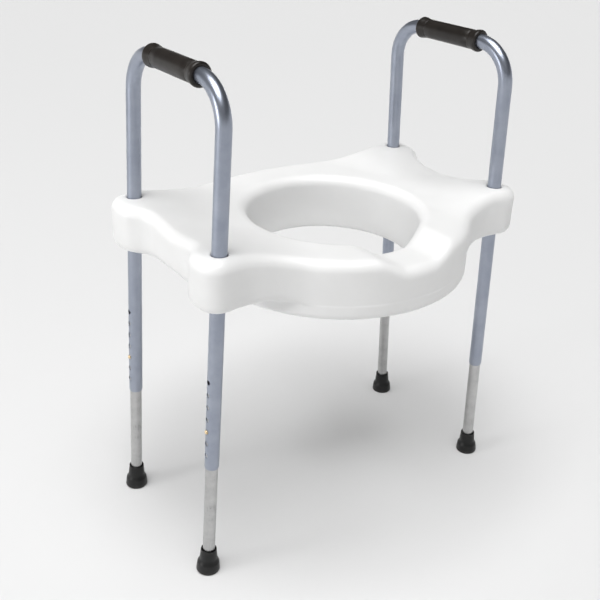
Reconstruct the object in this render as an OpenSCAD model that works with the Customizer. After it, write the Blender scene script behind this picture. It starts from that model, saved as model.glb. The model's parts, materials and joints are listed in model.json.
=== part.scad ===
// Raised toilet seat on four height-adjustable legs, with an armrest hoop on each side.
// +Z is up, the front (the scooped side) faces -Y, and left and right are as seen from the front.
// The origin is on the floor, under the middle of the seat.

/* [Seat] */
// Height of the seat above the floor, at the four tube entries
seat_h = 493; // [450:1:600]
// Length of the seat, front to back
seat_len = 390; // [340:1:470]
// How far the curved back edge stands out behind the rear lobes
back_bulge = 20; // [10:1:30]
// Depth of the deck and its lobes
deck_t = 72; // [60:1:86]
// Depth of the round skirt that stands over the toilet bowl
skirt_t = 96; // [86:1:120]
// Step from the deck's front down to the skirt
skirt_step = 1.5; // [1:0.1:4]
// Wall of the hollow moulding
shell_wall = 3.5; // [2.5:0.1:5]
// Drop of the middle of the seat below the tube entries
dish = 14; // [8:1:20]
// Diameter of the two drain holes under the deck
vent_d = 8; // [5:1:10]
// Clear width of the opening
open_w = 242; // [200:1:260]
// Clear length of the opening
open_l = 252; // [210:1:270]
// Rounding of the opening's rim
rim_r = 16; // [8:1:20]
// How far the opening narrows from the rim to the skirt
open_taper = 4; // [0:0.5:8]
// Depth of the scoop in the front of the ring
scoop_depth = 17; // [5:1:25]
// Width of the scoop at the top
scoop_w = 136; // [90:1:170]
// Width of the flat floor of the scoop
scoop_floor = 40; // [10:1:60]

/* [Lobes] */
// From a tube's axis to the lobe's side face
lobe_side = 33; // [28:1:40]
// From a front tube's axis to the lobe's front face
lobe_front = 29; // [25:1:36]
// From a rear tube's axis to the lobe's back face
lobe_back = 29; // [25:1:36]
// Plan radius of the lobes' corners
corner_r = 28; // [20:1:32]
// Plan radius of the waist's two curves
waist_r = 40; // [25:1:48]
// How far the waist cuts in between the lobes
waist_in = 26; // [15:1:40]
// Plan radius of the hollow between a front lobe and the ring
dip_r = 110; // [40:1:150]
// Rounding of the deck's top edge
edge_r = 15; // [8:1:18]
// Rounding of the deck's bottom edge
bottom_r = 14; // [6:1:18]
// Rounding of the skirt's bottom edges
skirt_r = 9; // [5:1:12]

/* [Hoops] */
// Outer diameter of the hoop tube
tube_d = 20; // [18:0.5:25]
// Wall of the hoop tube
tube_wall = 1.0; // [0.8:0.1:1.5]
// From the side of the round ring to a tube's axis at the seat
tube_out = 44; // [30:1:80]
// Distance between the front and rear tubes
tube_y = 230; // [190:1:280]
// Height of the hoop's top above the seat, to the tube's axis
arm_h = 203; // [170:1:260]
// Bend radius of the hoop, to the tube's axis
bend_r = 53; // [40:1:60]
// How far the hoop's legs reach below the seat
tube_below = 315; // [270:1:340]
// Outward splay of the legs, in degrees
splay = 2.7; // [0:0.1:5]
// Gap between a tube and its hole in the seat
bore_gap = 0.6; // [0.3:0.1:1.5]
// From each end of the hand grip to the hoop's bend
grip_margin = 0.5; // [0.5:0.5:15]
// Diameter of the hand grip
grip_d = 27.5; // [25:0.5:32]
// Diameter of the flare at each end of the hand grip
grip_end_d = 31; // [28:0.5:36]

/* [Height adjustment] */
// Distance between adjustment holes
hole_pitch = 19; // [16:0.5:25]
// Number of adjustment holes in each hoop leg
hole_count = 7; // [5:1:8]
// Which hole the button is in, counted from the bottom
hole_used = 3; // [1:1:7]
// From the lowest hole to the tube's lower end
hole_end = 22; // [15:1:30]
// Diameter of the adjustment holes
hole_d = 7; // [6.5:0.1:8]
// Diameter of the snap button
button_d = 5.8; // [5:0.1:6]
// How far the button stands out of the hoop tube
button_out = 2.6; // [1.5:0.1:4]
// Length of the snap spring, from its bend to the button
spring_len = 50; // [40:1:60]

/* [Legs] */
// Sliding gap between a leg tube and its hoop leg
leg_gap = 0.2; // [0.15:0.05:0.4]
// Wall of the leg tube
leg_wall = 1.2; // [1:0.1:1.5]
// Length of leg tube above the button
leg_above = 60; // [40:1:70]
// Height of the rubber foot
foot_h = 37; // [30:1:50]
// Widest diameter of the rubber foot
foot_d = 34; // [30:0.5:45]
// Rubber below the leg tube's steel washer
foot_sole = 7; // [5:0.5:10]

/* [Fasteners] */
// Diameter of the support pins
pin_d = 4; // [3:0.5:5]
// Depth of the recess that hides a support pin
recess_t = 6; // [5:0.5:10]
// Diameter of the two locking screws
screw_d = 4.4; // [3.5:0.1:5]
// Depth of the locking screws below the tube entries
screw_down = 36; // [30:1:40]

/* [Hidden] */
SIDES = ["left", "right"];
ENDS = ["front", "rear"];
LEG_PIECES = ["leg_tube", "foot", "foot_washer", "spring_clip", "spring_leaf", "snap_button"];
$fn = 48;
slack = 1;                                      // overshoot of a cutting tool

// Plan of the seat: tube places, lobe faces and the waist
ring_r = seat_len / 2;
tube_x = 2 * (ring_r + tube_out);
rear_y = seat_len / 2 - back_bulge - lobe_back;
front_y = rear_y - tube_y;
mid_y = (rear_y + front_y) / 2;
lobe_x = tube_x / 2 + lobe_side;
waist_x = lobe_x - waist_in;
front_corner = [lobe_x - corner_r, front_y - lobe_front + corner_r];
rear_corner = [lobe_x - corner_r, rear_y + lobe_back - corner_r];
waist_turn = acos(1 - waist_in / (2 * waist_r));
waist_run = waist_r * sin(waist_turn);
waist_end = (rear_corner.y - front_corner.y) / 2 - 12 - 2 * waist_run;
bulge_w = front_corner.x - 50;
rear_tube = [tube_x / 2, rear_y];
vent = mix(ring_r * rear_tube / norm(rear_tube), rear_tube, 0.5);

// Heights and rounding that follow from the driving sizes
deck_z = seat_h - deck_t;
skirt_z = seat_h - skirt_t;
inner_r = 6;                                    // rounding of the skirt's inner bottom edge
lobe_fade = 125;                                // distance from a tube at which the seat has dipped fully
under_fall = 2;                                 // fall of the deck's underside from its edge to the skirt

// Tube sizes and places along a leg, measured from the seat level
tube_r = tube_d / 2;
grip_len = tube_y - 2 * (bend_r + grip_margin);
leg_r = tube_r - tube_wall - leg_gap;
leg_bore = leg_r - leg_wall;
bore_r = tube_r + bore_gap;
post_r = bore_r + 6.5;
floor_w = -seat_h / cos(splay);
button_w = -tube_below + hole_end + (hole_used - 1) * hole_pitch;
leg_end_w = floor_w + foot_sole + 1.5;
pin_reach = tube_r + 3;
pin_w = -deck_t + recess_t - pin_d / 2;

// Snap spring: strip size, and the two strips' places across the tube
strip_t = 0.8;
strip_w = 6;
leaf_u = leg_bore - 2.6;
hinge_w = button_w - spring_len;

function mix(a, b, t) = a + (b - a) * t;
function bend(a, b, c, t) = mix(mix(a, b, t), mix(b, c, t), t);
function smooth(t) = let (c = min(max(t, 0), 1)) c * c * (3 - 2 * c);
function unit(v) = v / norm(v);
function turn(v) = [v.y, -v.x];

// Points of an arc without its last point, which the next stretch supplies
function arc(c, r, from, to, n) =
    [for (i = [0 : n - 1]) let (a = mix(from, to, i / n)) c + r * [cos(a), sin(a)]];
function heading(v) = atan2(v.y, v.x);

// Centre of the arc that fills the hollow between the round front and a front lobe
function dip_centre() =
    let (a = ring_r + dip_r, b = corner_r + dip_r, d = norm(front_corner), u = front_corner / d,
         along = (a * a - b * b + d * d) / (2 * d))
    along * u + sqrt(a * a - along * along) * turn(u);

// Right half of the seat's outline, from the middle of the front to the middle of the back
half_outline =
    let (dip = dip_centre(), nose_a = heading(dip), lobe_a = heading(dip - front_corner),
         front_waist = mid_y - waist_end, rear_waist = mid_y + waist_end,
         shoulder = lobe_x - waist_r, hollow = waist_x + waist_r)
    concat(
        arc([0, 0], ring_r, -90, nose_a, 7),
        arc(dip, dip_r, nose_a + 180, lobe_a + 180, 5),
        arc(front_corner, corner_r, lobe_a, 0, 6),
        arc([shoulder, front_waist - 2 * waist_run], waist_r, 0, waist_turn, 3),
        arc([hollow, front_waist], waist_r, 180 + waist_turn, 180, 3),
        [[waist_x, front_waist]],
        arc([hollow, rear_waist], waist_r, 180, 180 - waist_turn, 3),
        arc([shoulder, rear_waist + 2 * waist_run], waist_r, -waist_turn, 0, 3),
        arc(rear_corner, corner_r, 0, 90, 5),
        [for (i = [0 : 8]) let (x = rear_corner.x * (1 - i / 8))
            [x, rear_y + lobe_back + back_bulge * pow(cos(90 * min(x / bulge_w, 1)), 2)]]);
outline = concat(
    half_outline,
    [for (i = [len(half_outline) - 2 : -1 : 1]) let (p = half_outline[i]) [-p.x, p.y]]);
stations = len(outline);

// Outward normal of the outline at a station, halfway between its two edges
function normal(i) =
    let (here = outline[i],
         before = outline[(i + stations - 1) % stations],
         after = outline[(i + 1) % stations])
    unit(turn(unit(here - before)) + turn(unit(after - here)));

// Height of the seat's top: level at the tubes, dished in the middle, scooped at the front
function top_z(q) =
    let (lobe = min([for (x = [-tube_x / 2, tube_x / 2], y = [front_y, rear_y]) norm(q - [x, y])]),
         sunk = smooth(lobe / lobe_fade),
         side = 1 - smooth((abs(q.x) - scoop_floor / 2) / ((scoop_w - scoop_floor) / 2)),
         ahead = smooth(-q.y / (open_l / 2) - 0.1))
    seat_h - dish * sunk - scoop_depth * side * ahead;

// Point on the opening's wall line, pushed outwards by a distance
function rim(a, out) = [(open_w / 2 + out) * cos(a), (open_l / 2 + out) * sin(a)];
function lift(q, z) = [q.x, q.y, z];

// Angle at which a station's section runs. It is eased on the front lobes, where the outline
// runs straight outwards, so that neighbouring sections never cross.
function bearing(p) = heading([p.x, p.y * (p.y < 0 ? 1 - 0.003 * (norm(p) - ring_r) : 1)]);

// Angles that step round a quarter turn
function quarter(n) = [for (k = [0 : n]) 90 * k / n];
function back_quarter(n) = [for (k = [n : -1 : 0]) 90 * k / n];

// One closed section through the ring at a station, with n steps to each rounding.
// inset 0 gives the outside, and shell_wall gives the hollow inside, with a floor twice as thick.
function section(i, inset, n_steps) =
    let (p = outline[i], n = normal(i), a = bearing(p), u = [cos(a), sin(a)],
         rr = rim_r - inset, er = edge_r - inset, br = bottom_r - inset,
         sr = skirt_r - inset, ir = inner_r - inset,
         floor_z = deck_z + 2 * inset, base_z = skirt_z + inset,
         ring = (ring_r - skirt_step - inset) * u,
         tuck = min(br, 0.6 * (norm(p) - norm(ring) - inset)),
         lead = n * (corner_r - edge_r - 1),
         crest = rim(a, rim_r), edge = p - n * edge_r, deck = p - n * (inset + tuck),
         under = lead * min(norm(deck - ring) / dip_r, 1))
    concat(
        [for (c = [90, 0]) lift(rim(a, inset - open_taper + ir * (1 - cos(c))), base_z + ir * (1 - sin(c)))],
        [for (c = quarter(n_steps)) let (q = rim(a, inset + rr * (1 - cos(c))))
            lift(q, top_z(q) - inset - rr * (1 - sin(c)))],
        [for (k = [1 : n_steps - 1]) let (q = bend(crest, edge - lead, edge, k / n_steps))
            lift(q, top_z(q) - inset)],
        [for (c = back_quarter(n_steps)) let (q = p - n * (inset + er * (1 - cos(c))))
            lift(q, top_z(q) - inset - er * (1 - sin(c)))],
        [for (c = quarter(n_steps - 1)) let (q = p - n * (inset + tuck * (1 - cos(c))))
            lift(q, floor_z + br * (1 - sin(c)))],
        [lift(bend(deck, deck - under, ring, 0.6), floor_z - under_fall),
         lift(ring, deck_z + inset - inner_r)],
        [for (c = quarter(n_steps - 1)) lift(ring - u * sr * (1 - cos(c)), base_z + sr * (1 - sin(c)))]);

// The ring as one closed surface through every station
module ring_solid(inset, n_steps) {
    sections = [for (i = [0 : stations - 1]) section(i, inset, n_steps)];
    rows = len(sections[0]);
    count = len(sections);
    polyhedron(
        points = [for (s = sections, p = s) p],
        faces = [for (i = [0 : count - 1], j = [0 : rows - 1], half = [0, 1])
            let (i2 = (i + 1) % count, j2 = (j + 1) % rows)
            half == 0 ? [i * rows + j, i2 * rows + j, i2 * rows + j2]
                      : [i * rows + j, i2 * rows + j2, i * rows + j2]],
        convexity = 8);
}

// Puts its children, drawn for the right side, on the side named
module on_side(side) {
    if (side == "right") children(); else mirror([1, 0, 0]) children();
}

// Stands its children on a leg's axis: z runs up the leg from the seat level, x points outwards
module at_leg(side, end) {
    on_side(side) translate([tube_x / 2, end == "front" ? front_y : rear_y, seat_h])
        rotate([0, -splay, 0]) children();
}

// Stands its children midway between a side's two legs, leaning as they do
module at_hoop(side) {
    on_side(side) translate([tube_x / 2, mid_y, seat_h]) rotate([0, -splay, 0]) children();
}

// A cylinder along the leg, between two places on it
module along(from, to, r) {
    translate([0, 0, from]) cylinder(r = r, h = to - from);
}

// A cylinder across the leg, pointing outwards
module outward(at, from, to, r) {
    translate([from, 0, at]) rotate([0, 90, 0]) cylinder(r = r, h = to - from);
}

// A cylinder across the leg, pointing to the back
module backward(at, from, to, r) {
    translate([0, from, at]) rotate([-90, 0, 0]) cylinder(r = r, h = to - from);
}

// Drafted post of solid plastic round a tube's hole, through the hollow of the moulding
module post() {
    hull() {
        along(-deck_t - slack, -deck_t, post_r + 1);
        along(-slack, 0, post_r - 1);
    }
}

// Boss for a locking screw, from a rear post to the back face
module screw_boss() {
    boss_r = screw_d / 2 + 5;
    hull() {
        backward(-screw_down, 0, slack, boss_r + 2);
        backward(-screw_down, lobe_back - slack, lobe_back, boss_r);
    }
}

// Slot under a lobe that hides the ends of a support pin
module pin_slot() {
    slot_r = pin_d / 2 + 1.5;
    hull() for (y = [-1, 1])
        translate([0, y * (pin_reach + 1 - slot_r), -deck_t - slack])
            cylinder(r = slot_r, h = recess_t + slack);
}

module seat_shell() {
    mouth = 2.5;
    $fn = 24;
    color("white") difference() {
        ring_solid(0, 3);
        difference() {
            ring_solid(shell_wall, 2);
            for (s = SIDES, e = ENDS) at_leg(s, e) post();
            for (s = SIDES) at_leg(s, "rear") screw_boss();
        }
        for (s = SIDES, e = ENDS) at_leg(s, e) {
            along(-skirt_t, dish, bore_r);
            translate([0, 0, -mouth]) cylinder(r1 = bore_r, r2 = bore_r + 2 * mouth, h = 2 * mouth);
            pin_slot();
        }
        for (s = SIDES) at_leg(s, "rear") {
            backward(-screw_down, 0, lobe_back + slack, screw_d / 2 + 0.4);
            backward(-screw_down, lobe_back - 1.5, lobe_back + slack, screw_d + 1.4);
        }
        for (s = SIDES) on_side(s) translate([vent.x, vent.y, deck_z - under_fall - slack])
            cylinder(d = vent_d, h = 2 * shell_wall + under_fall + 2 * slack);
    }
}

module support_pins() {
    color("gray") for (s = SIDES, e = ENDS) at_leg(s, e) backward(pin_w, -pin_reach, pin_reach, pin_d / 2);
}

module lock_screws() {
    head = 2.6;
    color("silver") for (s = SIDES) at_leg(s, "rear") difference() {
        union() {
            backward(-screw_down, tube_r - tube_wall - 0.6, lobe_back - 1.5, screw_d / 2);
            backward(-screw_down, lobe_back - 1.5, lobe_back - 1.5 + head, screw_d);
        }
        for (turned = [0, 90]) translate([0, lobe_back - 1.5 + head, -screw_down]) rotate([0, turned, 0])
            cube([0.9, 2 * 1.4, screw_d], center = true);
    }
}

// The hoop's bent tube as a solid rod: two legs, two bends and the straight top
module hoop_rod(r, below) {
    straight = tube_y / 2 - bend_r;
    for (m = [0, 1]) mirror([0, m, 0]) {
        translate([0, tube_y / 2, 0]) along(-below, arm_h - bend_r, r);
        translate([0, straight, arm_h - bend_r]) rotate([90, 0, 90])
            rotate_extrude(angle = 90) translate([bend_r, 0]) circle(r);
    }
    translate([0, 0, arm_h]) backward(0, -straight, straight, r);
}

module hoop(side) {
    lip = 3;
    color("lightsteelblue") at_hoop(side) difference() {
        hoop_rod(tube_r, tube_below);
        hoop_rod(tube_r - tube_wall, tube_below + slack);
        for (m = [0, 1]) mirror([0, m, 0]) translate([0, tube_y / 2, 0]) {
            for (k = [0 : hole_count - 1])
                outward(-tube_below + hole_end + k * hole_pitch, tube_r / 2, tube_r + slack, hole_d / 2);
            backward(pin_w, -tube_r - slack, tube_r + slack, pin_d / 2);
            translate([0, 0, -tube_below]) difference() {
                along(-slack, lip, tube_r + slack);
                along(-2 * slack, 0, tube_r - 0.6);
                cylinder(r1 = tube_r - 0.6, r2 = tube_r, h = lip);
            }
        }
        translate([0, tube_y / 2, 0]) backward(-screw_down, 0, tube_r + slack, screw_d / 2);
    }
}

// Hand grip: a sleeve with a soft flare at each end
module grip(side) {
    half = grip_len / 2;
    body = grip_d / 2;
    flare = grip_end_d / 2 - body;
    end_r = 3;
    swell = [for (i = [0 : 6]) [body + flare * smooth(i / 6), half - 18 + 13 * i / 6]];
    nose = [for (i = [1 : 6]) [body + flare - end_r * (1 - cos(15 * i)), half - end_r + end_r * sin(15 * i)]];
    upper = concat(swell, nose);
    lower = [for (i = [len(upper) - 1 : -1 : 0]) [upper[i].x, -upper[i].y]];
    color("dimgray") at_hoop(side) translate([0, 0, arm_h]) rotate([-90, 0, 0]) rotate_extrude()
        polygon(concat([[tube_r, half], [tube_r, -half]], lower, upper));
}

module leg_tube(side, end) {
    color("gainsboro") at_leg(side, end) difference() {
        along(leg_end_w, button_w + leg_above, leg_r);
        along(leg_end_w - slack, button_w + leg_above + slack, leg_bore);
        outward(button_w, 0, tube_r, hole_d / 2);
    }
}

// Rubber foot: a bell with a sleeve above it, its sole cut level with the floor
module foot(side, end) {
    r = foot_d / 2;
    sleeve = leg_r + 2.5;
    waist = foot_h / 2;
    dip = 1.2;
    round_r = 3;
    profile = concat(
        [[0, -dip], [r - round_r, -dip]],
        [for (i = [1 : 5]) [r - round_r + round_r * sin(18 * i), round_r - dip - round_r * cos(18 * i)]],
        [[r - 1.4, waist - 3.6], [r - 2, waist - 2.6], [sleeve + 1.8, waist - 0.6], [sleeve + 1, waist + 1]],
        [[sleeve, foot_h - 1.5], [sleeve - 0.5, foot_h - 0.4], [sleeve - 1.4, foot_h], [0, foot_h]]);
    color("#222222") difference() {
        at_leg(side, end) difference() {
            translate([0, 0, floor_w]) rotate_extrude() polygon(profile);
            along(leg_end_w, floor_w + foot_h + slack, leg_r);
            along(floor_w + foot_sole, leg_end_w + slack, leg_r - 0.4);
        }
        translate([-lobe_x - 100, -seat_len, -20]) cube([2 * lobe_x + 200, 2 * seat_len, 20]);
    }
}

module foot_washer(side, end) {
    color("silver") at_leg(side, end) along(floor_w + foot_sole, leg_end_w, leg_r - 0.4);
}

// Fixed half of the snap spring: the strip against the tube's far wall and the bend below it
module spring_clip(side, end) {
    gap = 0.15;
    color("darkgray") at_leg(side, end) translate([0, 0, hinge_w - strip_t / 2 - gap]) {
        intersection() {
            rotate([90, 0, 0]) difference() {
                cylinder(r = leaf_u + strip_t / 2, h = strip_w, center = true);
                cylinder(r = leaf_u - strip_t / 2, h = strip_w + 1, center = true);
            }
            translate([0, 0, -leg_r]) cube([2 * leg_r, strip_w, 2 * leg_r], center = true);
        }
        translate([-leaf_u, 0, spring_len / 2]) cube([strip_t, strip_w, spring_len], center = true);
    }
}

// Moving half of the snap spring: it turns about its rounded lower end
module spring_leaf(side, end) {
    color("darkgray") at_leg(side, end) translate([leaf_u, 0, hinge_w]) {
        rotate([90, 0, 0]) cylinder(r = strip_t / 2, h = strip_w, center = true);
        translate([0, 0, (spring_len + 5) / 2]) cube([strip_t, strip_w, spring_len + 5], center = true);
    }
}

module snap_button(side, end) {
    r = button_d / 2;
    back = leaf_u + strip_t / 2;
    tip = tube_r + button_out;
    dome = 2.2;
    profile = concat(
        [[0, back], [r + 0.6, back], [r + 0.6, back + 0.6], [r, back + 0.6]],
        [for (i = [0 : 6]) [r * cos(15 * i), tip - dome + dome * sin(15 * i)]]);
    color("goldenrod") at_leg(side, end) translate([0, 0, button_w]) rotate([0, 90, 0])
        rotate_extrude() polygon(profile);
}

seat_shell();
support_pins();
lock_screws();
for (s = SIDES) {
    hoop(s);
    grip(s);
}
for (s = SIDES, e = ENDS) {
    leg_tube(s, e);
    foot(s, e);
    foot_washer(s, e);
    spring_clip(s, e);
    spring_leaf(s, e);
    snap_button(s, e);
}
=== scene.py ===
import json
import math

import bmesh
import bpy
import numpy as np
from mathutils import Matrix, Vector
from mathutils.geometry import delaunay_2d_cdt


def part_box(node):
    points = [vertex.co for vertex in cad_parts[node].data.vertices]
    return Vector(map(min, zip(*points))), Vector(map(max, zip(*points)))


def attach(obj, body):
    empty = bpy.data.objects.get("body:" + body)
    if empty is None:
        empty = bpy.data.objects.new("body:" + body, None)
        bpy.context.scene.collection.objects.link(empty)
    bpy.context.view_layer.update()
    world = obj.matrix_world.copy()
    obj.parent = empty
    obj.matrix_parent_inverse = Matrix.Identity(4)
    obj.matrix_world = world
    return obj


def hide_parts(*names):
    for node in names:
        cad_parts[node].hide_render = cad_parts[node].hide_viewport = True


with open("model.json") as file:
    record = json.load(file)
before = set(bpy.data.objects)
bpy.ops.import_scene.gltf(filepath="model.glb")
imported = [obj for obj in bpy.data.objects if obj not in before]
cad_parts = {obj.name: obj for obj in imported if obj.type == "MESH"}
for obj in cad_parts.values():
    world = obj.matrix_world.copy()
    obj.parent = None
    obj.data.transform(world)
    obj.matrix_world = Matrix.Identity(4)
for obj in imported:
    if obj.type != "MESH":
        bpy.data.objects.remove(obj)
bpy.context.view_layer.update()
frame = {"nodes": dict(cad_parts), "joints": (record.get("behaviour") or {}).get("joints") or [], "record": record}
record = frame["record"]
scene = bpy.context.scene
print("frame loaded")

sides = ("left", "right")
ends = ("front", "rear")
joints = {joint["name"]: joint for joint in frame["joints"]}
mounts = {mount["name"]: mount for mount in record["mounts"]}


# small tools for meshes

def mix(a, b, t):
    return a + (b - a) * t


def bend(a, b, c, t):
    return mix(mix(a, b, t), mix(b, c, t), t)


def smoothStep(t):
    t = min(max(t, 0.0), 1.0)
    return t * t * (3 - 2 * t)


def addObject(name, data):
    piece = bpy.data.objects.new(name, data)
    scene.collection.objects.link(piece)
    return piece


def gridMesh(name, rings, loop=False, closed=True):
    # a loop joins the last ring to the first; without it, caps close the two ends
    around, count = len(rings[0]), len(rings)
    faces = []
    for i in range(count if loop else count - 1):
        for j in range(around if closed else around - 1):
            i2, j2 = (i + 1) % count, (j + 1) % around
            faces.append((i * around + j, i * around + j2, i2 * around + j2, i2 * around + j))
    if not loop:
        faces.append(tuple(range(around - 1, -1, -1)))
        faces.append(tuple((count - 1) * around + j for j in range(around)))
    mesh = bpy.data.meshes.new(name)
    mesh.from_pydata([tuple(p) for ring in rings for p in ring], [], faces)
    return mesh


def tidyMesh(mesh, sharpAngle):
    # merge what coincides, turn the faces outwards, and shade smoothly but for true edges
    work = bmesh.new()
    work.from_mesh(mesh)
    bmesh.ops.remove_doubles(work, verts=work.verts, dist=1e-6)
    bmesh.ops.recalc_face_normals(work, faces=work.faces)
    work.to_mesh(mesh)
    work.free()
    mesh.shade_smooth()
    mesh.set_sharp_from_angle(angle=math.radians(sharpAngle))
    return mesh


def latheMesh(name, profile, spot, facets=64, loop=False):
    # profile holds (radius, height) pairs; spot turns the lathe's axis onto the object
    rings = []
    for radius, height in profile:
        rings.append([spot @ Vector((radius * math.cos(2 * math.pi * k / facets),
                                     radius * math.sin(2 * math.pi * k / facets), height))
                      for k in range(facets)])
    return gridMesh(name, rings, loop=loop)


def arcPairs(centre, radius, start, stop, steps):
    # points on an arc, with its angles in degrees
    return [(centre[0] + radius * math.cos(math.radians(mix(start, stop, i / steps))),
             centre[1] + radius * math.sin(math.radians(mix(start, stop, i / steps))))
            for i in range(steps + 1)]


def quarterTurn(k, steps):
    return math.pi / 2 * k / steps


def cutAway(piece, cutters):
    # takes each cutter out of the piece, and leaves a plain mesh
    for cutter in cutters:
        modifier = piece.modifiers.new("cut", "BOOLEAN")
        modifier.operation = "DIFFERENCE"
        modifier.solver = "EXACT"
        modifier.object = cutter
    graph = bpy.context.evaluated_depsgraph_get()
    mesh = bpy.data.meshes.new_from_object(piece.evaluated_get(graph), depsgraph=graph)
    piece.modifiers.clear()
    piece.data = mesh
    for cutter in cutters:
        bpy.data.objects.remove(cutter)


# small tools for nodes

def addNode(tree, kind, values=None, **settings):
    node = tree.nodes.new(kind)
    for key, value in settings.items():
        setattr(node, key, value)
    for key, value in (values or {}).items():
        node.inputs[key].default_value = value
    return node


def makeTree(name, inputs):
    tree = bpy.data.node_groups.new(name, "GeometryNodeTree")
    tree.interface.new_socket(name="Geometry", in_out="INPUT", socket_type="NodeSocketGeometry")
    for label, kind in inputs:
        tree.interface.new_socket(name=label, in_out="INPUT", socket_type="NodeSocket" + kind)
    tree.interface.new_socket(name="Geometry", in_out="OUTPUT", socket_type="NodeSocketGeometry")
    return tree, addNode(tree, "NodeGroupInput"), addNode(tree, "NodeGroupOutput")


def runTree(name, tree, values):
    # a modifier on an empty host makes the shape, and the host then keeps it as a plain mesh
    host = addObject(name, bpy.data.meshes.new(name))
    modifier = host.modifiers.new(tree.name, "NODES")
    modifier.node_group = tree
    for item in tree.interface.items_tree:
        if item.in_out == "INPUT" and item.name in values:
            modifier[item.identifier] = values[item.name]
    graph = bpy.context.evaluated_depsgraph_get()
    mesh = bpy.data.meshes.new_from_object(host.evaluated_get(graph), depsgraph=graph)
    host.modifiers.clear()
    host.data = mesh
    return host


# finishes

finishes = {
    "seatPlastic": {"slot": "seat_plastic", "light": (0.86, 0.86, 0.855), "dark": (0.82, 0.82, 0.815),
                    "metal": 0.0, "rough": (0.36, 0.48), "cloud": 9.0, "grain": (750, 750, 750),
                    "grainHeight": 0.00003, "wave": 16.0, "waveHeight": 0.0008},
    "hoopFinish": {"slot": "hoop_tube", "light": (0.37, 0.40, 0.47), "dark": (0.31, 0.34, 0.41),
                   "metal": 0.88, "rough": (0.27, 0.36), "cloud": 30.0, "grain": (1500, 1500, 30),
                   "grainHeight": 0.000008, "onTube": True},
    "legFinish": {"slot": "leg_tube", "light": (0.56, 0.56, 0.555), "dark": (0.44, 0.44, 0.44),
                  "metal": 1.0, "rough": (0.24, 0.38), "cloud": 45.0, "grain": (1900, 1900, 22),
                  "grainHeight": 0.000015, "onTube": True},
    "gripVinyl": {"slot": "grip_vinyl", "light": (0.020, 0.016, 0.013), "dark": (0.012, 0.0095, 0.008),
                  "metal": 0.0, "rough": (0.30, 0.42), "cloud": 35.0, "grain": (900, 900, 900),
                  "grainHeight": 0.00004, "specular": 0.4, "wave": 60.0, "waveHeight": 0.0003},
    "footRubber": {"slot": "foot_rubber", "light": (0.016, 0.016, 0.016), "dark": (0.009, 0.009, 0.009),
                   "metal": 0.0, "rough": (0.28, 0.42), "cloud": 60.0, "grain": (1100, 1100, 1100),
                   "grainHeight": 0.00005, "specular": 0.28,
                   "dust": (0.070, 0.066, 0.060), "dustTop": 0.006},
    "zincSteel": {"slot": "steel", "light": (0.60, 0.61, 0.62), "dark": (0.47, 0.48, 0.50),
                  "metal": 1.0, "rough": (0.28, 0.44), "cloud": 260.0, "grain": (1600, 1600, 1600),
                  "grainHeight": 0.00001},
    "springSteel": {"slot": "spring_steel", "light": (0.45, 0.46, 0.48), "dark": (0.36, 0.36, 0.38),
                    "metal": 1.0, "rough": (0.22, 0.34), "cloud": 180.0, "grain": (2200, 2200, 120),
                    "grainHeight": 0.00001},
    "buttonBrass": {"slot": "button_brass", "light": (0.90, 0.72, 0.46), "dark": (0.78, 0.58, 0.33),
                    "metal": 0.75, "rough": (0.22, 0.34), "cloud": 320.0, "grain": (1500, 1500, 1500),
                    "grainHeight": 0.00001},
}


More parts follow.
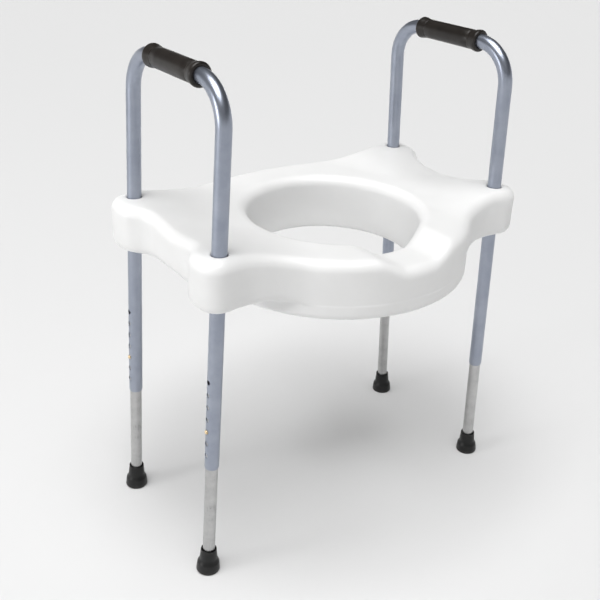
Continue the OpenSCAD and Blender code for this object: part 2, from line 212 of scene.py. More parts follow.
def makeFinish(name, look):
    material = bpy.data.materials.new(name)
    material.use_nodes = True
    tree = material.node_tree
    shader = tree.nodes["Principled BSDF"]
    shader.inputs["Metallic"].default_value = look["metal"]
    shader.inputs["Specular IOR Level"].default_value = look.get("specular", 0.5)
    if look.get("onTube"):
        surface = addNode(tree, "ShaderNodeAttribute", attribute_name="tubePlace").outputs["Vector"]
    else:
        surface = addNode(tree, "ShaderNodeTexCoord").outputs["Object"]

    # slow drift of the colour and the gloss
    cloud = addNode(tree, "ShaderNodeTexNoise",
                    {"Scale": look["cloud"], "Detail": 4.0, "Roughness": 0.6})
    tree.links.new(surface, cloud.inputs["Vector"])
    tint = addNode(tree, "ShaderNodeValToRGB")
    tint.color_ramp.elements[0].position = 0.32
    tint.color_ramp.elements[0].color = (*look["dark"], 1)
    tint.color_ramp.elements[1].position = 0.68
    tint.color_ramp.elements[1].color = (*look["light"], 1)
    tree.links.new(cloud.outputs["Fac"], tint.inputs["Fac"])
    colour = tint.outputs["Color"]

    # fine grain, drawn out along the tubes
    stretch = addNode(tree, "ShaderNodeMapping", {"Scale": look["grain"]})
    tree.links.new(surface, stretch.inputs["Vector"])
    grain = addNode(tree, "ShaderNodeTexNoise", {"Scale": 1.0, "Detail": 5.0, "Roughness": 0.55})
    tree.links.new(stretch.outputs["Vector"], grain.inputs["Vector"])
    both = addNode(tree, "ShaderNodeMath", operation="ADD")
    tree.links.new(cloud.outputs["Fac"], both.inputs[0])
    tree.links.new(grain.outputs["Fac"], both.inputs[1])
    smoothest, roughest = look["rough"]
    gloss = addNode(tree, "ShaderNodeMapRange", {"From Min": 0.6, "From Max": 1.4,
                                                 "To Min": smoothest, "To Max": roughest})
    tree.links.new(both.outputs["Value"], gloss.inputs["Value"])
    tree.links.new(gloss.outputs["Result"], shader.inputs["Roughness"])
    relief = addNode(tree, "ShaderNodeBump", {"Strength": 1.0, "Distance": look["grainHeight"]})
    tree.links.new(grain.outputs["Fac"], relief.inputs["Height"])

    # the slow waves that a moulding keeps
    if "wave" in look:
        wave = addNode(tree, "ShaderNodeTexNoise",
                       {"Scale": look["wave"], "Detail": 1.0, "Roughness": 0.4})
        tree.links.new(surface, wave.inputs["Vector"])
        swell = addNode(tree, "ShaderNodeBump", {"Strength": 1.0, "Distance": look["waveHeight"]})
        tree.links.new(wave.outputs["Fac"], swell.inputs["Height"])
        tree.links.new(swell.outputs["Normal"], relief.inputs["Normal"])
    tree.links.new(relief.outputs["Normal"], shader.inputs["Normal"])

    # pale scuffs where the rubber meets the floor
    if "dust" in look:
        split = addNode(tree, "ShaderNodeSeparateXYZ")
        tree.links.new(surface, split.inputs["Vector"])
        low = addNode(tree, "ShaderNodeMapRange", {"From Min": 0.0, "From Max": look["dustTop"],
                                                   "To Min": 0.75, "To Max": 0.0})
        tree.links.new(split.outputs["Z"], low.inputs["Value"])
        patchy = addNode(tree, "ShaderNodeMath", operation="MULTIPLY")
        tree.links.new(low.outputs["Result"], patchy.inputs[0])
        tree.links.new(grain.outputs["Fac"], patchy.inputs[1])
        dusty = addNode(tree, "ShaderNodeMix", data_type="RGBA")
        tree.links.new(patchy.outputs["Value"], dusty.inputs[0])
        tree.links.new(colour, dusty.inputs[6])
        dusty.inputs[7].default_value = (*look["dust"], 1)
        colour = dusty.outputs[2]
    tree.links.new(colour, shader.inputs["Base Color"])
    return material


materials = {name: makeFinish(name, look) for name, look in finishes.items()}
print("finishes made")


def place(piece, body, finish, *replaced):
    # the last step for every new piece
    if not piece.data.materials:
        piece.data.materials.append(materials[finish])
    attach(piece, body)
    if replaced:
        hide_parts(*replaced)


# where the legs stand: x outwards, y along the seat, z up the leg from the floor
legForm = {
    "seatLevel": 0.49355,       # from the floor to the seat, along a leg
    "tubeRadius": 0.0100, "tubeBore": 0.0090, "hoopEnd": 0.17855,
    "armLevel": 0.69655, "bendRadius": 0.053,
    "holeRadius": 0.0035, "holePitch": 0.019, "holeCount": 7, "firstHole": 0.20055,
    "legRadius": 0.0088, "legBore": 0.0076, "legBottom": 0.0085, "legTop": 0.29855,
    "buttonLevel": 0.23855, "facets": 72, "endRoll": 0.0006, "rollLength": 0.0034,
    "boreOverrun": 0.004, "drillFrom": 0.004, "drillTo": 0.013,
    "hoopLevels": (0.30, 0.45, 0.55), "legLevels": (0.08, 0.15, 0.22),
    "lipGap": 0.0002, "lipThickness": 0.00035, "lipFlatness": 0.7,
}


def legPlace(side, end):
    up = Vector(joints[f"{side}_{end}_leg_slide"]["axis"]).normalized()
    out = Vector((up.z, 0, -up.x)) if side == "right" else Vector((-up.z, 0, up.x))
    frameOfLeg = Matrix((out, up.cross(out), up)).transposed().to_4x4()
    frameOfLeg.translation = Vector(mounts[f"{side}_{end}_sole"]["pos_m"])
    return frameOfLeg


def hoopPlace(side):
    # midway between a hoop's two legs, at the floor
    middle = legPlaces[side, "front"].copy()
    middle.translation = (middle.translation + legPlaces[side, "rear"].translation) / 2
    return middle


legPlaces = {(side, end): legPlace(side, end) for side in sides for end in ends}
seatLevelPoint = legPlaces["right", "rear"] @ Vector((0, 0, legForm["seatLevel"]))
tubeX, rearY = seatLevelPoint.x, seatLevelPoint.y
frontY = legPlaces["right", "front"].translation.y
midY = (frontY + rearY) / 2
halfSpan = (rearY - frontY) / 2
seatTop = seatLevelPoint.z


# the seat moulding
seatLow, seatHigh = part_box("seat_shell")
seatForm = {
    "deckDepth": 0.072, "skirtStep": 0.0015, "dish": 0.014, "dishReach": 0.125,
    "openingWidth": 0.242, "openingLength": 0.252, "rimRound": 0.016, "openingTaper": 0.004,
    "scoopDepth": 0.017, "scoopWidth": 0.136, "scoopFloor": 0.040,
    "lobeSide": 0.033, "lobeFront": 0.029, "lobeBack": 0.029, "cornerRadius": 0.028,
    "waistRadius": 0.040, "waistDepth": 0.026, "dipRadius": 0.110, "backBulge": 0.020,
    "edgeRound": 0.015, "bottomRound": 0.014, "skirtRound": 0.009, "baseRound": 0.006,
    "underFall": 0.002, "step": 0.003, "softening": 10, "topNet": 0.0045,
    "waistMargin": 0.012, "bulgeMargin": 0.05, "undercut": 0.0055, "stepReach": 0.02,
    "boreRadius": 0.0106, "mouthRound": 0.0026, "slotRadius": 0.0035, "slotReach": 0.0105,
    "screwDrop": 0.036, "screwRadius": 0.0026, "recessRadius": 0.0058, "recessDepth": 0.0015,
    "drainRadius": 0.004, "drainDepth": 0.012,
}
ringRadius = seatHigh.y
skirtZ = seatLow.z
deckZ = seatTop - seatForm["deckDepth"]


def planArc(centre, radius, start, stop):
    steps = max(3, math.ceil(abs(math.radians(stop - start)) * radius / seatForm["step"]))
    return [Vector(pair) for pair in arcPairs(centre, radius, start, stop, steps)][:-1]


def heading(v):
    return math.degrees(math.atan2(v[1], v[0]))


def seatOutline(form):
    lobeX = tubeX + form["lobeSide"]
    waistX = lobeX - form["waistDepth"]
    corner, dip, waist = form["cornerRadius"], form["dipRadius"], form["waistRadius"]
    frontCorner = Vector((lobeX - corner, frontY - form["lobeFront"] + corner))
    rearCorner = Vector((lobeX - corner, rearY + form["lobeBack"] - corner))
    waistTurn = math.degrees(math.acos(1 - form["waistDepth"] / (2 * waist)))
    waistRun = waist * math.sin(math.radians(waistTurn))
    waistEnd = (rearCorner.y - frontCorner.y) / 2 - form["waistMargin"] - 2 * waistRun

    # the hollow between the round front and a front lobe
    reach, near, gap = ringRadius + dip, corner + dip, frontCorner.length
    along = (reach ** 2 - near ** 2 + gap ** 2) / (2 * gap)
    towards = frontCorner / gap
    beside = math.sqrt(reach ** 2 - along ** 2)
    dipCentre = along * towards + beside * Vector((towards.y, -towards.x))
    noseAngle, lobeAngle = heading(dipCentre), heading(dipCentre - frontCorner)

    half = planArc((0, 0), ringRadius, -90, noseAngle)
    half += planArc(dipCentre, dip, noseAngle + 180, lobeAngle + 180)
    half += planArc(frontCorner, corner, lobeAngle, 0)
    half += planArc((lobeX - waist, midY - waistEnd - 2 * waistRun), waist, 0, waistTurn)
    half += planArc((waistX + waist, midY - waistEnd), waist, 180 + waistTurn, 180)
    straight = math.ceil(2 * waistEnd / form["step"])
    half += [Vector((waistX, midY + waistEnd * (2 * i / straight - 1))) for i in range(straight)]
    half += planArc((waistX + waist, midY + waistEnd), waist, 180, 180 - waistTurn)
    half += planArc((lobeX - waist, midY + waistEnd + 2 * waistRun), waist, -waistTurn, 0)
    half += planArc(rearCorner, corner, 0, 90)
    bulgeWidth = frontCorner.x - form["bulgeMargin"]
    backSteps = math.ceil(rearCorner.x / form["step"])
    for i in range(backSteps + 1):
        x = rearCorner.x * (1 - i / backSteps)
        swell = math.cos(math.radians(90 * min(x / bulgeWidth, 1))) ** 2
        half.append(Vector((x, rearY + form["lobeBack"] + form["backBulge"] * swell)))
    line = half + [Vector((-p.x, p.y)) for p in reversed(half[1:-1])]
    for _ in range(form["softening"]):      # eases one curve into the next
        line = [(line[i - 1] + 2 * line[i] + line[(i + 1) % len(line)]) / 4
                for i in range(len(line))]
    return line


def seatHeight(form, q):
    # level near the tubes, dished in the middle, and scooped at the front
    lobe = min((Vector((x, y)) - q).length for x in (-tubeX, tubeX) for y in (frontY, rearY))
    sunk = smoothStep(lobe / form["dishReach"])
    bank = (form["scoopWidth"] - form["scoopFloor"]) / 2
    side = 1 - smoothStep((abs(q.x) - form["scoopFloor"] / 2) / bank)
    ahead = smoothStep(-q.y / (form["openingLength"] / 2) - 0.1)
    return seatTop - form["dish"] * sunk - form["scoopDepth"] * side * ahead


def bearings(line):
    # the direction from the middle that each section starts in, eased so that no two sections cross
    angles = []
    for p in line:
        ease = 1 - 3 * (p.length - ringRadius) if p.y < 0 else 1
        angle = math.atan2(p.y * ease, p.x)
        while angles and angle < angles[-1] - math.pi:
            angle += 2 * math.pi
        angles.append(angle)
    angles = np.array(angles)
    for _ in range(60):
        before, after = np.roll(angles, 1), np.roll(angles, -1)
        before[0] -= 2 * math.pi
        after[-1] += 2 * math.pi
        angles = (before + 2 * angles + after) / 4
    return angles


def seatSection(form, p, n, angle):
    # one open section, from the top edge round the outside and underneath to the rim of the opening
    ray = Vector((math.cos(angle), math.sin(angle)))

    def rim(outwards):
        return Vector(((form["openingWidth"] / 2 + outwards) * ray.x,
                       (form["openingLength"] / 2 + outwards) * ray.y))

    def turn(steps):
        # how far in and how far up a rounding is, from its upright end to its flat one
        return [(1 - math.cos(quarterTurn(k, steps)), 1 - math.sin(quarterTurn(k, steps)))
                for k in range(steps + 1)]

    rows = []

    def put(q, z):
        rows.append(Vector((q.x, q.y, z)))

    stepIn = form["skirtStep"] * smoothStep((p.length - ringRadius) / form["stepReach"])
    ring = (ringRadius - stepIn) * ray
    tuck = min(form["bottomRound"], 0.6 * max(p.length - ring.length, 0))
    deck = p - n * tuck
    under = n * form["edgeRound"] * min((deck - ring).length / form["dipRadius"], 1)

    for side, down in reversed(turn(10)):
        q = p - n * form["edgeRound"] * side
        put(q, seatHeight(form, q) - form["edgeRound"] * down)
    faceTop = seatHeight(form, p) - form["edgeRound"]
    faceBase = deckZ + form["bottomRound"]
    for t in (0.25, 0.5, 0.75):
        put(p, mix(faceTop, faceBase, t))
    for side, down in turn(8):
        put(p - n * tuck * side, deckZ + form["bottomRound"] * down)
    for t in (0.2, 0.4, 0.6, 0.8):
        put(bend(deck, deck - under, ring, t), deckZ - form["underFall"] * smoothStep(t / 0.7))
    for t in (0, 0.5):
        put(ring, mix(deckZ - form["undercut"], skirtZ + form["skirtRound"], t))
    for side, down in turn(8):
        put(ring - ray * form["skirtRound"] * side, skirtZ + form["skirtRound"] * down)
    inner = rim(form["baseRound"] - form["openingTaper"])
    outer = ring - ray * form["skirtRound"]
    for t in (0.25, 0.5, 0.75):
        put(mix(outer, inner, t), skirtZ)
    for side, down in reversed(turn(6)):
        q = rim(form["baseRound"] * side - form["openingTaper"])
        put(q, skirtZ + form["baseRound"] * down)
    wallTop = seatHeight(form, rim(0)) - form["rimRound"]
    wallBase = skirtZ + form["baseRound"]
    for t in (0.2, 0.4, 0.6, 0.8):
        put(rim(-form["openingTaper"] * (1 - t)), mix(wallBase, wallTop, t))
    for side, down in turn(10):
        q = rim(form["rimRound"] * side)
        put(q, seatHeight(form, q) - form["rimRound"] * down)
    return rows


def seatTopMesh(form, outer, inner):
    # the sitting surface: an even net of points between the top edge and the rim of the opening
    borders = np.array(outer + inner)
    pitch = form["topNet"]
    across, along = np.meshgrid(np.arange(-0.28, 0.28, pitch), np.arange(-0.2, 0.2, pitch))
    net = np.column_stack((across.ravel(), along.ravel()))
    clear = np.array([np.min(np.hypot(*(borders - point).T)) > 0.7 * pitch for point in net])
    net = net[clear]

    def within(border):
        inside = np.zeros(len(net), bool)
        for (x1, y1), (x2, y2) in zip(border, border[1:] + border[:1]):
            if y1 != y2:
                crosses = (y1 > net[:, 1]) != (y2 > net[:, 1])
                inside ^= crosses & (net[:, 0] < x1 + (net[:, 1] - y1) * (x2 - x1) / (y2 - y1))
        return inside

    net = net[within(outer) & ~within(inner)]
    points = [Vector(pair) for pair in outer + inner + net.tolist()]
    edges = [(i, (i + 1) % len(outer)) for i in range(len(outer))]
    edges += [(len(outer) + i, len(outer) + (i + 1) % len(inner)) for i in range(len(inner))]
    flat, _, faces, sources, _, _ = delaunay_2d_cdt(points, edges, [], 1, 1e-7)
    onRim = [any(len(outer) <= k < len(borders) for k in source) for source in sources]
    faces = [face for face in faces if not all(onRim[k] for k in face)]
    mesh = bpy.data.meshes.new("seatTop")
    mesh.from_pydata([(q.x, q.y, seatHeight(form, q)) for q in flat], [], faces)
    return mesh


outline = seatOutline(seatForm)
sections = []
for i, (p, angle) in enumerate(zip(outline, bearings(outline))):
    ahead = outline[(i + 1) % len(outline)] - outline[i - 1]
    n = Vector((ahead.y, -ahead.x)).normalized()
    sections.append(seatSection(seatForm, p, n, angle))
shape = bmesh.new()
shape.from_mesh(gridMesh("seat_sides", sections, loop=True, closed=False))
shape.from_mesh(seatTopMesh(seatForm, [tuple(rows[0].xy) for rows in sections],
                            [tuple(rows[-1].xy) for rows in sections]))
seatMesh = bpy.data.meshes.new("seat_moulding")
shape.to_mesh(seatMesh)
shape.free()
seat = addObject("seat_moulding", tidyMesh(seatMesh, 60))

# what is cut from it: tube bores and their soft mouths, pin slots, screw recesses and drain holes
def addCutter(name, mesh):
    seatCutters.append(addObject(name, tidyMesh(mesh, 40)))


def mouthProfile(form, steps=8):
    bore, rounding = form["boreRadius"], form["mouthRound"]
    flare = [(bore - 0.001, -0.009)]
    flare += [(bore + 0.0002 + rounding * (1 - math.cos(quarterTurn(k, steps))),
               rounding * (math.sin(quarterTurn(k, steps)) - 1) - 0.0003) for k in range(steps + 1)]
    outside = flare[-1][0] + 0.004
    return flare + [(outside, 0.0004), (outside, 0.02)]


def slotRing(form, spot, height, facets=40):
    ring = []
    for k in range(facets):
        a = 2 * math.pi * k / facets
        along = form["slotRadius"] * math.sin(a) + math.copysign(form["slotReach"], math.sin(a))
        ring.append(spot @ Vector((form["slotRadius"] * math.cos(a), along, height)))
    return ring


seatCutters = []
level = legForm["seatLevel"]
slotLevel = level - seatForm["deckDepth"]
for side in sides:
    for end in ends:
        spot = legPlaces[side, end]
        bore = [(seatForm["boreRadius"], level - 0.11), (seatForm["boreRadius"], level + 0.03)]
        addCutter("bore", latheMesh("bore", bore, spot))
        top = Matrix.Translation(spot @ Vector((0, 0, level)))
        addCutter("mouth", latheMesh("mouth", mouthProfile(seatForm), top))
        slot = [slotRing(seatForm, spot, slotLevel + height) for height in (-0.004, 0.006)]
        addCutter("slot", gridMesh("slot", slot))
    turnBack = Matrix.Rotation(math.radians(-90 if side == "right" else 90), 4, "X")
    screwDown = Matrix.Translation((0, 0, level - seatForm["screwDrop"]))
    screwAxis = legPlaces[side, "rear"] @ screwDown @ turnBack
    back, hole, recess = seatForm["lobeBack"], seatForm["screwRadius"], seatForm["recessRadius"]
    recessFloor = back - seatForm["recessDepth"]
    screwHole = [(hole, 0), (hole, recessFloor), (recess, recessFloor), (recess, back + 0.005)]
    addCutter("screwSeat", latheMesh("screwSeat", screwHole, screwAxis))
    toTube = Vector((tubeX * (1 if side == "right" else -1), rearY))
    drain = mix(toTube.normalized() * ringRadius, toTube, 0.5)
    drainHole = [(seatForm["drainRadius"], deckZ + height) for height in (-0.006, seatForm["drainDepth"])]
    addCutter("drain", latheMesh("drain", drainHole, Matrix.Translation((drain.x, drain.y, 0)), 32))
cutAway(seat, seatCutters)
tidyMesh(seat.data, 50)
seat.data.materials.clear()
place(seat, "seat_frame", "seatPlastic", "seat_shell")
print("seat made:", len(seat.data.polygons), "faces")


# tubes, as a node tree: a swept wall with rows of holes
tubeTree, given, made = makeTree("drilledTube", [
    ("Path", "Object"), ("Bore Path", "Object"), ("Tube Radius", "Float"), ("Bore Radius", "Float"),
    ("Facets", "Int"), ("Cutter", "Object"), ("Rows", "Int"), ("Row Step", "Vector"),
    ("Holes", "Int"), ("First Hole", "Vector"), ("Hole Step", "Vector"), ("Material", "Material")])


def holePoints(tree, given):
    # rows of points, one row after another
    rows = addNode(tree, "GeometryNodeMeshLine", mode="OFFSET")
    tree.links.new(given.outputs["Rows"], rows.inputs["Count"])
    tree.links.new(given.outputs["First Hole"], rows.inputs["Start Location"])
    tree.links.new(given.outputs["Row Step"], rows.inputs["Offset"])
    holes = addNode(tree, "GeometryNodeMeshLine", mode="OFFSET")
    tree.links.new(given.outputs["Holes"], holes.inputs["Count"])
    tree.links.new(given.outputs["Hole Step"], holes.inputs["Offset"])
    spots = addNode(tree, "GeometryNodeInstanceOnPoints")
    tree.links.new(rows.outputs["Mesh"], spots.inputs["Points"])
    tree.links.new(holes.outputs["Mesh"], spots.inputs["Instance"])
    real = addNode(tree, "GeometryNodeRealizeInstances")
    tree.links.new(spots.outputs["Instances"], real.inputs["Geometry"])
    return real.outputs["Geometry"]


def sweptRod(tree, given, path, radius):
    line = addNode(tree, "GeometryNodeObjectInfo")
    tree.links.new(given.outputs[path], line.inputs["Object"])
    circle = addNode(tree, "GeometryNodeCurvePrimitiveCircle")
    tree.links.new(given.outputs["Facets"], circle.inputs["Resolution"])
    tree.links.new(given.outputs[radius], circle.inputs["Radius"])
    rod = addNode(tree, "GeometryNodeCurveToMesh", {"Fill Caps": True})
    tree.links.new(line.outputs["Geometry"], rod.inputs["Curve"])
    tree.links.new(circle.outputs["Curve"], rod.inputs["Profile Curve"])
    return rod.outputs["Mesh"]


def stamped(tree, points, given, label):
    shape = addNode(tree, "GeometryNodeObjectInfo")
    tree.links.new(given.outputs[label], shape.inputs["Object"])
    spread = addNode(tree, "GeometryNodeInstanceOnPoints")
    tree.links.new(points, spread.inputs["Points"])
    tree.links.new(shape.outputs["Geometry"], spread.inputs["Instance"])
    real = addNode(tree, "GeometryNodeRealizeInstances")
    tree.links.new(spread.outputs["Instances"], real.inputs["Geometry"])
    return real.outputs["Geometry"]


def endTree(tree, geometry, given, made):
    real = addNode(tree, "GeometryNodeRealizeInstances")
    coat = addNode(tree, "GeometryNodeSetMaterial")
    tree.links.new(geometry, real.inputs["Geometry"])
    tree.links.new(real.outputs["Geometry"], coat.inputs["Geometry"])
    tree.links.new(given.outputs["Material"], coat.inputs["Material"])
    tree.links.new(coat.outputs["Geometry"], made.inputs["Geometry"])


drill = addNode(tubeTree, "GeometryNodeMeshBoolean", operation="DIFFERENCE", solver="EXACT")
tubeTree.links.new(sweptRod(tubeTree, given, "Path", "Tube Radius"), drill.inputs["Mesh 1"])
tubeTree.links.new(sweptRod(tubeTree, given, "Bore Path", "Bore Radius"), drill.inputs["Mesh 2"])
rods = stamped(tubeTree, holePoints(tubeTree, given), given, "Cutter")
tubeTree.links.new(rods, drill.inputs["Mesh 2"])
endTree(tubeTree, drill.outputs["Mesh"], given, made)

lipTree, lipGiven, lipMade = makeTree("holeLips", [
    ("Lip", "Object"), ("Rows", "Int"), ("Row Step", "Vector"), ("Holes", "Int"),
    ("First Hole", "Vector"), ("Hole Step", "Vector"), ("Material", "Material")])
endTree(lipTree, stamped(lipTree, holePoints(lipTree, lipGiven), lipGiven, "Lip"), lipGiven, lipMade)


def pathObject(name, points):
    curve = bpy.data.curves.new(name, "CURVE")
    curve.dimensions = "3D"
    spline = curve.splines.new("POLY")
    spline.points.add(len(points) - 1)
    for point, spot in zip(spline.points, points):
        point.co = (*spot, 1)
    return addObject(name, curve)


def hoopPoints(extra):
    # up the front leg, over the top and down the rear leg
    bendR, arm, low = legForm["bendRadius"], legForm["armLevel"], legForm["hoopEnd"] - extra
    roll = legForm["rollLength"]
    rolled = [low + roll * k / 5 for k in range(1, 6)] if extra == 0 else []
    first = [(-halfSpan, z) for z in [low] + rolled + list(legForm["hoopLevels"])]
    first += arcPairs((-halfSpan + bendR, arm - bendR), bendR, 180, 90, 28)
    return [Vector((0, y, z)) for y, z in first + [(-y, z) for y, z in reversed(first)]]


def tubePlaces(mesh, frameOfTube, bent):
    # unrolls the tube: two numbers round it and one along it, for finishes that follow the tube
    inverse = frameOfTube.inverted()
    bendR, arm = legForm["bendRadius"], legForm["armLevel"]
    quarter = bendR * math.pi / 2
    straight, bendStart = halfSpan - bendR, arm - bendR
    values = []
    for vertex in mesh.vertices:
        q = inverse @ vertex.co
        if not bent:
            values.extend((q.x, q.y, q.z))
            continue
        sign = -1 if q.y < 0 else 1
        y, z = abs(q.y), q.z
        if z < bendStart:
            across, along = y - halfSpan, z
        elif y > straight:
            across = math.hypot(y - straight, z - bendStart) - bendR
            along = bendStart + math.atan2(z - bendStart, y - straight) * bendR
        else:
            across, along = z - arm, bendStart + quarter + straight - y
        values.extend((q.x, across * sign, along * sign))
    layer = mesh.attributes.new("tubePlace", "FLOAT_VECTOR", "POINT")
    layer.data.foreach_set("vector", values)


def holeCutter(turned, facets=40):
    # a short rod from inside the tube out through its outer wall
    r = legForm["holeRadius"]
    angles = [2 * math.pi * k / facets for k in range(facets)]
    rings = [[turned @ Vector((x, r * math.cos(a), r * math.sin(a))) for a in angles]
             for x in (legForm["drillFrom"], legForm["drillTo"])]
    return addObject("holeCutter", tidyMesh(gridMesh("holeCutter", rings), 40))


def holeLip(turned, major, minor):
    # a thin raised bead round a hole, wrapped on the tube
    rings = []
    for k in range(40):
        a = 2 * math.pi * k / 40
        ring = []
        for m in range(8):
            b = 2 * math.pi * m / 8
            out = major + minor * math.cos(b)
            across = out * math.cos(a)
            surface = math.sqrt(legForm["tubeRadius"] ** 2 - across ** 2)
            height = surface + minor * legForm["lipFlatness"] * math.sin(b)
            ring.append(turned @ Vector((height, across, out * math.sin(a))))
        rings.append(ring)
    return addObject("holeLip", tidyMesh(gridMesh("holeLip", rings, loop=True), 80))


for side in sides:
    front, rear = legPlaces[side, "front"], legPlaces[side, "rear"]
    middle = hoopPlace(side)
    turned = front.to_3x3()
    path = pathObject("path", [middle @ p for p in hoopPoints(0)])
    borePath = pathObject("borePath", [middle @ p for p in hoopPoints(legForm["boreOverrun"])])
    cutter = holeCutter(turned)
    lip = holeLip(turned, legForm["holeRadius"] + legForm["lipGap"], legForm["lipThickness"])
    up = front.col[2].to_3d()
    rowsOfHoles = {
        "Rows": 2, "Row Step": rear.translation - front.translation,
        "Holes": legForm["holeCount"], "First Hole": front @ Vector((0, 0, legForm["firstHole"])),
        "Hole Step": up * legForm["holePitch"], "Material": materials["hoopFinish"]}
    hoop = runTree(f"{side}_hoop_tube", tubeTree, {
        "Path": path, "Bore Path": borePath, "Tube Radius": legForm["tubeRadius"],
        "Bore Radius": legForm["tubeBore"], "Facets": legForm["facets"], "Cutter": cutter,
        **rowsOfHoles})
    inverse = middle.inverted()
    for vertex in hoop.data.vertices:       # the lower ends are rolled slightly inwards
        q = inverse @ vertex.co
        share = 1 - (q.z - legForm["hoopEnd"]) / legForm["rollLength"]
        if share > 0:
            shift = math.copysign(halfSpan, q.y)
            scale = 1 - legForm["endRoll"] / legForm["tubeRadius"] * smoothStep(share)
            vertex.co = middle @ Vector((q.x * scale, shift + (q.y - shift) * scale, q.z))
    tidyMesh(hoop.data, 35)
    tubePlaces(hoop.data, middle, True)
    place(hoop, "seat_frame", "hoopFinish", f"{side}_hoop")
    lips = runTree(f"{side}_hole_lips", lipTree, {"Lip": lip, **rowsOfHoles})
    tidyMesh(lips.data, 80)
    tubePlaces(lips.data, middle, True)
    place(lips, "seat_frame", "hoopFinish")
    for helper in (path, borePath, cutter, lip):
        bpy.data.objects.remove(helper)

    for end in ends:
        spot = legPlaces[side, end]
        body = f"{side}_{end}_leg"
        low, high, overrun = legForm["legBottom"], legForm["legTop"], legForm["boreOverrun"]
        levels = [low, *legForm["legLevels"], high]
        path = pathObject("path", [spot @ Vector((0, 0, z)) for z in levels])
        boreEnds = (low - overrun, high + overrun)
        borePath = pathObject("borePath", [spot @ Vector((0, 0, z)) for z in boreEnds])
        cutter = holeCutter(turned)
        leg = runTree(f"{body}_tube_drawn", tubeTree, {
            "Path": path, "Bore Path": borePath, "Tube Radius": legForm["legRadius"],
            "Bore Radius": legForm["legBore"], "Facets": legForm["facets"], "Cutter": cutter,
            "Rows": 1, "Row Step": Vector((0, 0, 0.01)), "Holes": 1,
            "First Hole": spot @ Vector((0, 0, legForm["buttonLevel"])), "Hole Step": up * 0.01,
            "Material": materials["legFinish"]})
        tidyMesh(leg.data, 35)
        tubePlaces(leg.data, spot, False)
        place(leg, body, "legFinish", f"{body}_tube")
        for helper in (path, borePath, cutter):
            bpy.data.objects.remove(helper)
print("tubes made")


# hand grips
gripForm = {"halfLength": 0.0615, "body": 0.01375, "flare": 0.0155, "endRound": 0.0032,
            "groove": 0.0004, "grooveAt": 0.0445, "grooveWidth": 0.0024}


def gripProfile(form):
    half, body, flare, r = form["halfLength"], form["body"], form["flare"], form["endRound"]
    upper = []
    for i in range(7):      # a shallow groove, then the swell to the end
        z = form["grooveAt"] + form["grooveWidth"] * (i / 6 - 0.5)
        upper.append((body - form["groove"] * math.sin(math.pi * i / 6), z))
    top = half - r
    for i in range(1, 13):
        t = i / 12
        upper.append((mix(body, flare, smoothStep(t)), mix(form["grooveAt"] + 0.0013, top, t)))
    upper += [(flare - r * (1 - math.cos(quarterTurn(k, 8))), top + r * math.sin(quarterTurn(k, 8)))
              for k in range(1, 9)]
    tube = legForm["tubeRadius"]
    upper += [(tube + 0.0008, half), (tube + 0.0001, half - 0.0008)]
    middle = [(body, z) for z in (-0.03, -0.015, 0, 0.015, 0.03)]
    return [(radius, -z) for radius, z in reversed(upper)] + middle + upper


for side in sides:
    alongGrip = Matrix.Rotation(math.radians(-90), 4, "X")
    spot = hoopPlace(side) @ Matrix.Translation((0, 0, legForm["armLevel"])) @ alongGrip
    mesh = tidyMesh(latheMesh(f"{side}_hand_grip", gripProfile(gripForm), spot, 80, loop=True), 45)
    place(addObject(f"{side}_hand_grip", mesh), "seat_frame", "gripVinyl", f"{side}_grip")
print("grips made")


# rubber feet and snap buttons
footForm = {"radius": 0.017, "height": 0.037, "sleeve": 0.0113, "shoulder": 0.0185, "soleRound": 0.003,
            "solePlane": -0.0012, "grooveDepth": 0.0022, "washerTop": 0.0085, "bore": 0.00882,
            "washerRadius": 0.0084, "wellFloor": 0.0071, "lipRound": 0.0011}
buttonForm = {"radius": 0.0029, "dome": 0.0022, "tip": 0.0126, "back": 0.0054, "flange": 0.0006,
              "pinhole": 0.0002}


def footProfile(form):
    # (radius, height) pairs: the sole with its groove, up the outside, down into the well, and the hollow
    # under the foot
    r, low, top = form["radius"], form["solePlane"], form["height"]
    sleeve, waist, rounding = form["sleeve"], form["shoulder"], form["soleRound"]
    groove = low + form["grooveDepth"]
    sole = [(0.0085, groove), (0.0090, low + 0.0012), (0.0094, low), (0.0116, low), (0.0120, groove),
            (0.0129, groove), (0.0133, low)]
    bell = [(r - rounding + rounding * math.sin(quarterTurn(k, 8)),
             low + rounding * (1 - math.cos(quarterTurn(k, 8)))) for k in range(9)]
    bell += [(r - 0.0003, 0.006), (r - 0.0007, 0.010), (r - 0.0012, waist - 0.0052),
             (r - 0.0014, waist - 0.0044), (r - 0.0018, waist - 0.0036), (r - 0.0026, waist - 0.0029)]
    shoulder = [(sleeve + 0.0029, waist - 0.0016), (sleeve + 0.0021, waist - 0.0006),
                (sleeve + 0.0015, waist + 0.0008), (sleeve + 0.0012, waist + 0.0030)]
    neck = [(mix(sleeve + 0.0011, sleeve + 0.0001, t), mix(waist + 0.006, top - 0.0025, t))
            for t in (0, 0.33, 0.66, 1)]
    roll = form["lipRound"]
    lip = [(sleeve - 0.0006 + 0.0006 * math.cos(math.pi * k / 8),
            top - roll + roll * math.sin(math.pi * k / 8)) for k in range(9)]
    bore, seat, floorLevel = form["bore"], form["washerTop"], form["wellFloor"]
    well = [(bore, top - 0.0022), (bore, 0.020), (bore, seat), (form["washerRadius"], seat),
            (form["washerRadius"], floorLevel), (0.004, floorLevel), (0.0005, floorLevel),
            (0.0005, groove), (0.0040, groove)]
    return sole + bell + shoulder + neck + lip + well


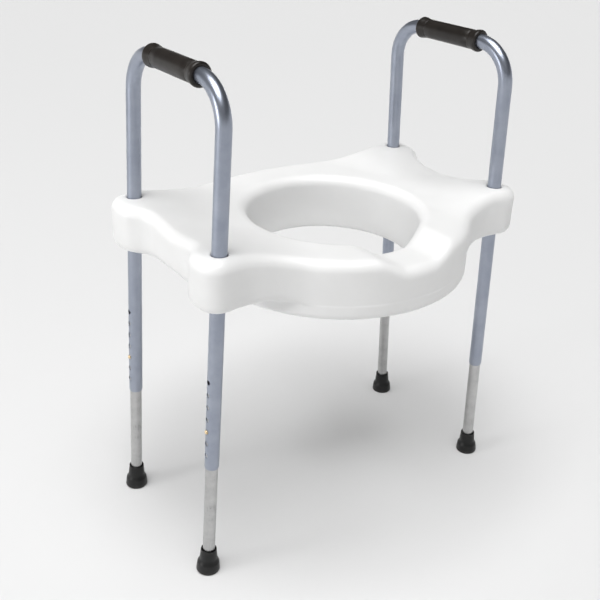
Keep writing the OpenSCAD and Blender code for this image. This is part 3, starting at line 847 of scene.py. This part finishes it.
def buttonProfile(form):
    # a flange, a straight side and a domed tip
    r, back, dome = form["radius"], form["back"], form["dome"]
    flange, pinhole = r + form["flange"], form["pinhole"]
    profile = [(pinhole, back), (flange, back), (flange, back + 0.0005), (r, back + 0.0007), (r, 0.008)]
    return profile + [(max(r * math.cos(quarterTurn(k, 10)), pinhole),
                       form["tip"] - dome + dome * math.sin(quarterTurn(k, 10))) for k in range(11)]


for side in sides:
    for end in ends:
        spot = legPlaces[side, end]
        mesh = latheMesh(f"{side}_{end}_rubber_foot", footProfile(footForm), spot, 80, loop=True)
        for vertex in mesh.vertices:        # the sole is moulded flat to the floor
            vertex.co.z = max(vertex.co.z, 0.0)
        foot = addObject(f"{side}_{end}_rubber_foot", tidyMesh(mesh, 50))
        place(foot, f"{side}_{end}_leg", "footRubber", f"{side}_{end}_foot")

        atButton = spot @ Matrix.Translation((0, 0, legForm["buttonLevel"]))
        outwards = atButton @ Matrix.Rotation(math.radians(90), 4, "Y")
        mesh = latheMesh(f"{side}_{end}_brass_button", buttonProfile(buttonForm), outwards, 40)
        tidyMesh(mesh, 50)
        button = addObject(f"{side}_{end}_brass_button", mesh)
        place(button, f"{side}_{end}_button", "buttonBrass", f"{side}_{end}_snap_button")
print("feet and buttons made")


# CAD pieces that stay as they are get their finish here
keptFinishes = {"support_pins": "zincSteel", "lock_screws": "zincSteel", "foot_washer": "zincSteel",
                "spring_clip": "springSteel", "spring_leaf": "springSteel"}
for name, node in frame["nodes"].items():
    for ending, finish in keptFinishes.items():
        if name.endswith(ending):
            node.data.materials.clear()
            node.data.materials.append(materials[finish])
print("kept pieces finished")


# floor and light
studio = {"floorColour": (0.70, 0.70, 0.70), "floorRough": 0.9, "floorHalf": 40.0, "floorDrop": 0.0004,
          "worldLow": 0.02, "worldHigh": 0.18, "worldTurn": 0.8,
          "horizon": 0.80, "horizonFrom": 0.08, "horizonTo": 0.24,
          "skyPlace": (-0.5, -0.35, 3.0), "skyAngle": 50, "skyStrength": 3.35,
          "fillPlace": (-2.6, 0.5, 0.9), "fillTarget": (0, 0.03, 0.35),
          "fillSize": 0.7, "fillPower": 16.0}
half = studio["floorHalf"]
floorMesh = bpy.data.meshes.new("floor")
corners = [(-half, -half), (half, -half), (half, half), (-half, half)]
floorMesh.from_pydata([(x, y, -studio["floorDrop"]) for x, y in corners], [], [(0, 1, 2, 3)])
floor = addObject("floor", floorMesh)
floorPaint = bpy.data.materials.new("floorPaint")
floorPaint.use_nodes = True
floorShader = floorPaint.node_tree.nodes["Principled BSDF"]
floorShader.inputs["Base Color"].default_value = (*studio["floorColour"], 1)
floorShader.inputs["Roughness"].default_value = studio["floorRough"]
floorMesh.materials.append(floorPaint)


def addLight(name, kind, spot, target, power):
    light = bpy.data.lights.new(name, kind)
    light.energy = power
    lamp = addObject(name, light)
    lamp.location = spot
    lamp.rotation_euler = (Vector(target) - Vector(spot)).to_track_quat("-Z", "Y").to_euler()
    return lamp


skyLight = addLight("skyLight", "SUN", studio["skyPlace"], (0, 0, 0), studio["skyStrength"])
skyLight.data.angle = math.radians(studio["skyAngle"])
sideLight = addLight("sideLight", "AREA", studio["fillPlace"], studio["fillTarget"], studio["fillPower"])
sideLight.data.size = studio["fillSize"]
world = bpy.data.worlds.new("studioAir")
scene.world = world
world.use_nodes = True
air = world.node_tree
air.nodes["Background"].inputs["Color"].default_value = (1, 1, 1, 1)
direction = addNode(air, "ShaderNodeTexCoord")
apart = addNode(air, "ShaderNodeSeparateXYZ")
shade = addNode(air, "ShaderNodeMapRange", {
    "From Min": -studio["worldTurn"], "From Max": studio["worldTurn"],
    "To Min": studio["worldHigh"], "To Max": studio["worldLow"]})
air.links.new(direction.outputs["Generated"], apart.inputs["Vector"])
air.links.new(apart.outputs["X"], shade.inputs["Value"])
glow = addNode(air, "ShaderNodeMapRange", {      # pale at the horizon
    "From Min": studio["horizonFrom"], "From Max": studio["horizonTo"]})
air.links.new(apart.outputs["Z"], glow.inputs["Value"])
blend = addNode(air, "ShaderNodeMix", {"A": studio["horizon"]})
air.links.new(glow.outputs["Result"], blend.inputs["Factor"])
air.links.new(shade.outputs["Result"], blend.inputs["B"])
air.links.new(blend.outputs["Result"], air.nodes["Background"].inputs["Strength"])
scene.view_settings.view_transform = "Standard"

# camera
cameraForm = {"location": (-0.73954, -0.92410, 0.93310), "azimuth": -36.63, "elevation": 27.14,
              "roll": 2.21, "lens": 52.9, "sensor": 36.0}
azimuth, elevation = math.radians(cameraForm["azimuth"]), math.radians(cameraForm["elevation"])
back = Vector((math.sin(azimuth) * math.cos(elevation), -math.cos(azimuth) * math.cos(elevation),
               math.sin(elevation)))
right = Vector((0, 0, 1)).cross(back).normalized()
upwards = back.cross(right)
roll = math.radians(cameraForm["roll"])
rolledRight = math.cos(roll) * right + math.sin(roll) * upwards
rolledUp = -math.sin(roll) * right + math.cos(roll) * upwards
lens = bpy.data.cameras.new("camera")
lens.lens, lens.sensor_width = cameraForm["lens"], cameraForm["sensor"]
camera = addObject("camera", lens)
pose = Matrix((rolledRight, rolledUp, back)).transposed().to_4x4()
pose.translation = Vector(cameraForm["location"])
camera.matrix_world = pose
scene.camera = camera
print("studio ready")
